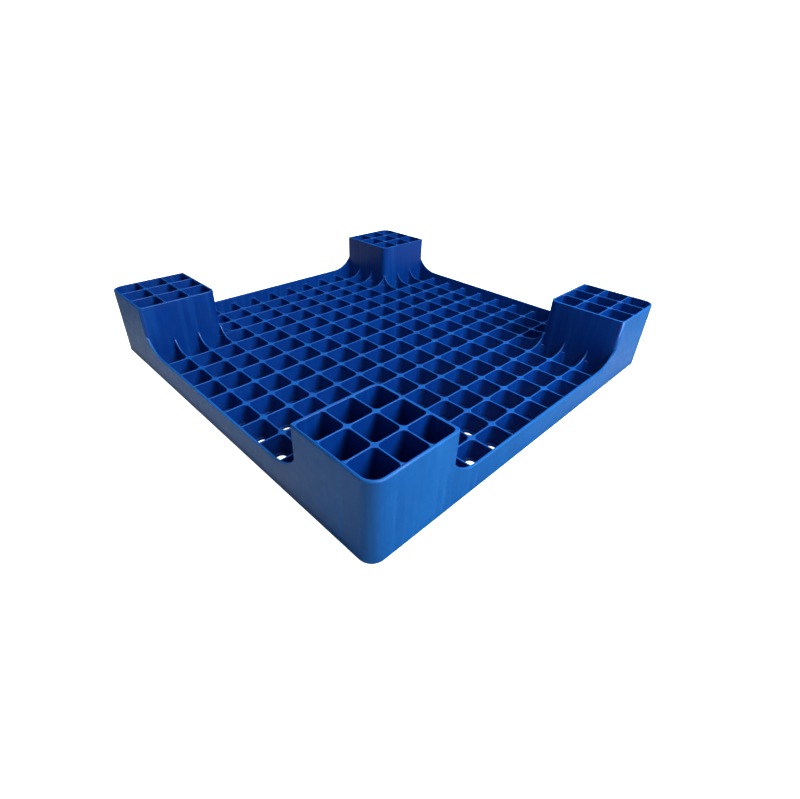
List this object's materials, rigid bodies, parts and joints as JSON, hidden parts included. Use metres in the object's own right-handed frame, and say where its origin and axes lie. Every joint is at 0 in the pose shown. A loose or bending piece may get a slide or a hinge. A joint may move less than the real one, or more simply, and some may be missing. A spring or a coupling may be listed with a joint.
{
  "type": "plastic pallet",
  "caption": "Square plastic pallet with an open mesh deck, a ribbed underside, a low skirt and hollow cellular corner feet; fork entry from every side.",
  "frame": {"origin": "middle of the load face, on the floor that the pallet lies on", "axes": "+Z from the load face towards the foot ends, X and Y along the sides. The pallet is modelled upside down, lying on its load face as it was pictured: turn it half a turn about X to stand it on its feet"},
  "size_m": [0.9, 0.9, 0.155],
  "materials": {
    "deck_plastic": "satin",
    "rib_plastic": "satin",
    "skirt_plastic": "satin",
    "foot_plastic": "satin"
  },
  "bodies": {
    "root": {"deck_panel": "deck_plastic", "rib_lattice": "rib_plastic", "skirt_front": "skirt_plastic", "skirt_right": "skirt_plastic", "skirt_back": "skirt_plastic", "skirt_left": "skirt_plastic", "foot_front_left": "foot_plastic", "foot_front_right": "foot_plastic", "foot_back_right": "foot_plastic", "foot_back_left": "foot_plastic", "foot_web_front_left": "rib_plastic", "foot_web_front_right": "rib_plastic", "foot_web_back_right": "rib_plastic", "foot_web_back_left": "rib_plastic"}
  },
  "joints": []
}
